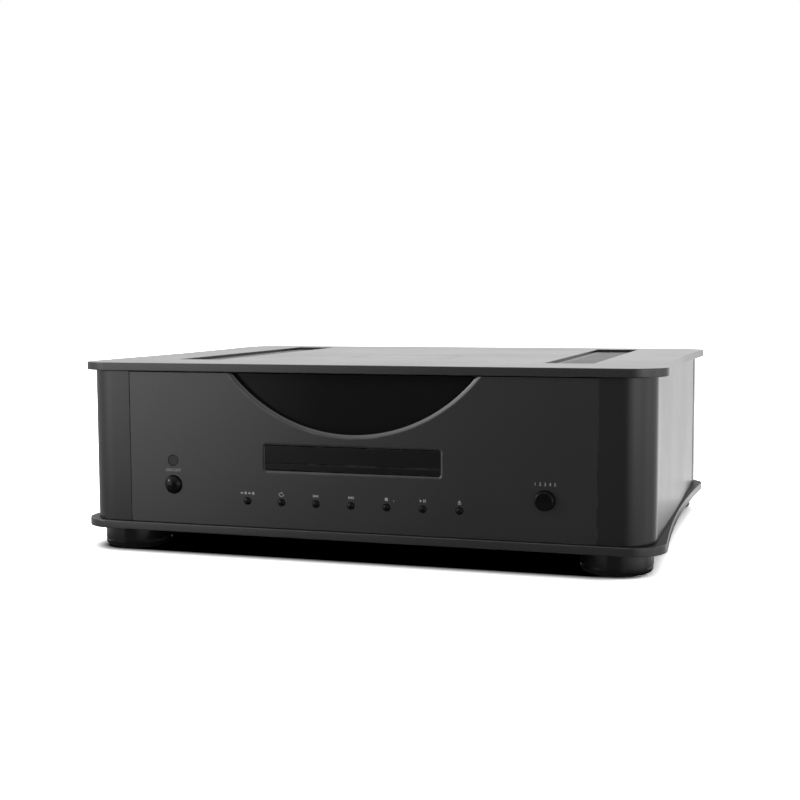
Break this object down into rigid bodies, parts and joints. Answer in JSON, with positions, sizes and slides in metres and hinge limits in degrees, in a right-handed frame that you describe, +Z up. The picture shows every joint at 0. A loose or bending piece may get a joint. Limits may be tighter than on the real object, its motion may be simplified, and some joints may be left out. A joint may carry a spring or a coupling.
{
  "type": "disc player",
  "caption": "Full-width disc player with a front drawer, arched display window and push buttons, between two waisted plates with round corner posts and feet.",
  "frame": {"origin": "middle of the underside of the whole box, on the surface that it stands on", "axes": "+X to the player's right as seen from the front, +Y to the back, +Z up"},
  "size_m": [0.4398, 0.35, 0.1425],
  "materials": {
    "satin_black": "satin black anodised",
    "vent_metal": "satin dark sheet",
    "smoked_window": "smoked, polished",
    "gloss_black": "gloss",
    "rubber": "matt",
    "black_plastic": "fine moulded texture",
    "steel": "zinc plated sheet and bar",
    "circuit_board": "solder mask",
    "brass": "gold plated",
    "nylon": "moulded"
  },
  "bodies": {
    "chassis": {"top_plate": "satin_black", "bottom_plate": "satin_black", "badge_plate": "satin_black", "front_panel": "satin_black", "rear_panel": "satin_black", "left_side_panel": "satin_black", "right_side_panel": "satin_black", "front_left_post": "satin_black", "rear_left_post": "satin_black", "front_right_post": "satin_black", "rear_right_post": "satin_black", "foot_front_left": "satin_black", "foot_rear_left": "satin_black", "foot_front_right": "satin_black", "foot_rear_right": "satin_black", "left_vent_grille": "vent_metal", "right_vent_grille": "vent_metal", "display_window": "smoked_window", "receiver_window": "smoked_window", "foot_pad_front_left": "rubber", "foot_pad_rear_left": "rubber", "foot_pad_front_right": "rubber", "foot_pad_rear_right": "rubber", "loading_belt": "rubber", "left_tray_rail": "black_plastic", "right_tray_rail": "black_plastic", "display_module": "black_plastic", "power_transformer": "black_plastic", "power_inlet": "black_plastic", "transport_base": "steel", "loading_motor": "steel", "clamp_bridge": "steel", "control_board": "circuit_board", "audio_board": "circuit_board", "power_board": "circuit_board", "left_output_socket": "brass", "right_output_socket": "brass", "digital_output_socket": "brass"},
    "tray": {"disc_tray": "black_plastic", "tray_front": "satin_black"},
    "loading_gear_body": {"loading_gear": "nylon"},
    "motor_pulley_body": {"motor_pulley": "brass"},
    "traverse": {"traverse_plate": "steel", "spindle_motor": "steel", "sled_guide_rod": "steel"},
    "turntable_body": {"turntable": "black_plastic"},
    "sled": {"optical_sled": "black_plastic"},
    "sled_screw_body": {"sled_screw": "steel"},
    "lens_body": {"lens": "smoked_window"},
    "clamp_puck_body": {"clamp_puck": "black_plastic"},
    "power_button_body": {"power_button": "gloss_black"},
    "selector_plunger_body": {"selector_plunger": "steel"},
    "selector_knob_body": {"selector_knob": "gloss_black"},
    "display_button_body": {"display_button": "gloss_black"},
    "repeat_button_body": {"repeat_button": "gloss_black"},
    "previous_button_body": {"previous_button": "gloss_black"},
    "next_button_body": {"next_button": "gloss_black"},
    "stop_button_body": {"stop_button": "gloss_black"},
    "play_button_body": {"play_button": "gloss_black"},
    "eject_button_body": {"eject_button": "gloss_black"}
  },
  "joints": [
    {"name": "tray_slide", "type": "slide", "parent": "chassis", "child": "tray", "axis": [0, -1, 0], "range_m": [0, 0.136]},
    {"name": "loading_gear_spin", "type": "hinge", "parent": "chassis", "child": "loading_gear_body", "pos_m": [-0.045, -0.135, 0.059], "axis": [0, 0, 1], "range_deg": [0, 743]},
    {"name": "motor_pulley_spin", "type": "hinge", "parent": "chassis", "child": "motor_pulley_body", "pos_m": [-0.005, -0.132, 0.059], "axis": [0, 0, 1], "range_deg": [0, 2258]},
    {"name": "traverse_lift", "type": "hinge", "parent": "chassis", "child": "traverse", "pos_m": [0, 0.003, 0.065], "axis": [1, 0, 0], "range_deg": [0, 4.4]},
    {"name": "turntable_spin", "type": "hinge", "parent": "traverse", "child": "turntable_body", "pos_m": [0, -0.095, 0.079], "axis": [0, 0, 1], "continuous": true},
    {"name": "clamp_spin", "type": "hinge", "parent": "chassis", "child": "clamp_puck_body", "pos_m": [0, -0.095, 0.0806], "axis": [0, 0, 1], "continuous": true},
    {"name": "sled_travel", "type": "slide", "parent": "traverse", "child": "sled", "axis": [0, 1, 0], "range_m": [0, 0.036]},
    {"name": "sled_screw_spin", "type": "hinge", "parent": "traverse", "child": "sled_screw_body", "pos_m": [-0.0132, -0.0832, 0.0732], "axis": [0, 1, 0], "range_deg": [-4322, 0]},
    {"name": "lens_focus", "type": "slide", "parent": "sled", "child": "lens_body", "axis": [0, 0, 1], "range_m": [-0.0006, 0.0006], "stiffness_N_per_m": 60},
    {"name": "power_press", "type": "slide", "parent": "chassis", "child": "power_button_body", "axis": [0, 1, 0], "range_m": [0, 0.0015], "stiffness_N_per_m": 1500, "springref_m": -0.0003},
    {"name": "selector_press", "type": "slide", "parent": "chassis", "child": "selector_plunger_body", "axis": [0, 1, 0], "range_m": [0, 0.0008], "stiffness_N_per_m": 2000, "springref_m": -0.0003},
    {"name": "selector_turn", "type": "hinge", "parent": "selector_plunger_body", "child": "selector_knob_body", "pos_m": [0.14, -0.175, 0.052], "axis": [0, 1, 0], "continuous": true},
    {"name": "display_press", "type": "slide", "parent": "chassis", "child": "display_button_body", "axis": [0, 1, 0], "range_m": [0, 0.0008], "stiffness_N_per_m": 1500, "springref_m": -0.0003},
    {"name": "repeat_press", "type": "slide", "parent": "chassis", "child": "repeat_button_body", "axis": [0, 1, 0], "range_m": [0, 0.0008], "stiffness_N_per_m": 1500, "springref_m": -0.0003},
    {"name": "previous_press", "type": "slide", "parent": "chassis", "child": "previous_button_body", "axis": [0, 1, 0], "range_m": [0, 0.0008], "stiffness_N_per_m": 1500, "springref_m": -0.0003},
    {"name": "next_press", "type": "slide", "parent": "chassis", "child": "next_button_body", "axis": [0, 1, 0], "range_m": [0, 0.0008], "stiffness_N_per_m": 1500, "springref_m": -0.0003},
    {"name": "stop_press", "type": "slide", "parent": "chassis", "child": "stop_button_body", "axis": [0, 1, 0], "range_m": [0, 0.0008], "stiffness_N_per_m": 1500, "springref_m": -0.0003},
    {"name": "play_press", "type": "slide", "parent": "chassis", "child": "play_button_body", "axis": [0, 1, 0], "range_m": [0, 0.0008], "stiffness_N_per_m": 1500, "springref_m": -0.0003},
    {"name": "eject_press", "type": "slide", "parent": "chassis", "child": "eject_button_body", "axis": [0, 1, 0], "range_m": [0, 0.0008], "stiffness_N_per_m": 1500, "springref_m": -0.0003}
  ],
  "couplings": [
    {"joint": "loading_gear_spin", "follows": "tray_slide", "rad_per_m": 95.238},
    {"joint": "motor_pulley_spin", "follows": "tray_slide", "rad_per_m": 289.6},
    {"joint": "clamp_spin", "follows": "turntable_spin", "ratio": 1},
    {"joint": "sled_screw_spin", "follows": "sled_travel", "rad_per_m": -2094.4}
  ]
}
